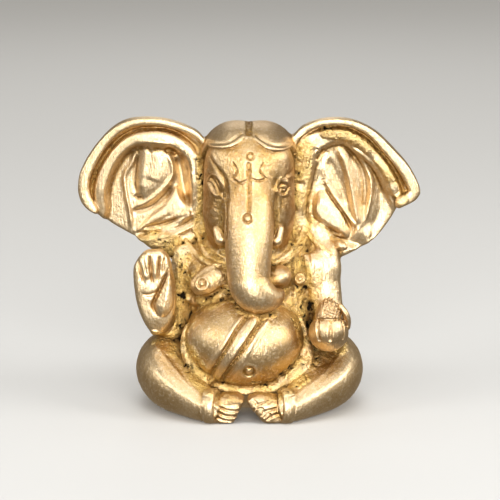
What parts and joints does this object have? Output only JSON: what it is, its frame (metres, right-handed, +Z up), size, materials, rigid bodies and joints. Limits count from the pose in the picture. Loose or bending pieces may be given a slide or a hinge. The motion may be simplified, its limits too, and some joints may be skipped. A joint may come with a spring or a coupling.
{
  "type": "deity figurine",
  "caption": "Small solid cast brass seated elephant-headed deity with spread ears, one hand raised and one holding a sweet; stands on its flat underside.",
  "frame": {"origin": "on the flat underside, below the head", "axes": "+Z up, the figure faces -Y, +X towards the figure's own left hand, the one holding the sweet"},
  "size_m": [0.056, 0.0243, 0.047],
  "materials": {
    "brass_polished": "worn bright on the high points, satin with fine scratches",
    "brass_satin": "satin cast brass, softly worn",
    "brass_recess": "grainy as-cast skin, yellow with dark patina in the hollows"
  },
  "bodies": {
    "root": {"torso": "brass_recess", "belly": "brass_polished", "stole": "brass_satin", "lap_hem": "brass_recess", "necklace": "brass_recess", "head": "brass_satin", "hair_dome_right": "brass_satin", "hair_dome_left": "brass_satin", "hair_jewel": "brass_recess", "eye_right": "brass_recess", "eye_left": "brass_recess", "trunk": "brass_polished", "tusk_right": "brass_polished", "tusk_left": "brass_polished", "ear_right": "brass_satin", "ear_left": "brass_satin", "breast_right": "brass_recess", "breast_left": "brass_recess", "armlet_left": "brass_satin", "upper_arm_right": "brass_recess", "raised_hand_right": "brass_polished", "thumb_right": "brass_polished", "upper_arm_left": "brass_satin", "forearm_left": "brass_satin", "cupped_hand_left": "brass_polished", "sweet_modak": "brass_satin", "leg_right": "brass_satin", "leg_left": "brass_satin", "anklet_right": "brass_satin", "anklet_left": "brass_satin", "foot_right": "brass_satin", "foot_left": "brass_satin"}
  },
  "joints": []
}
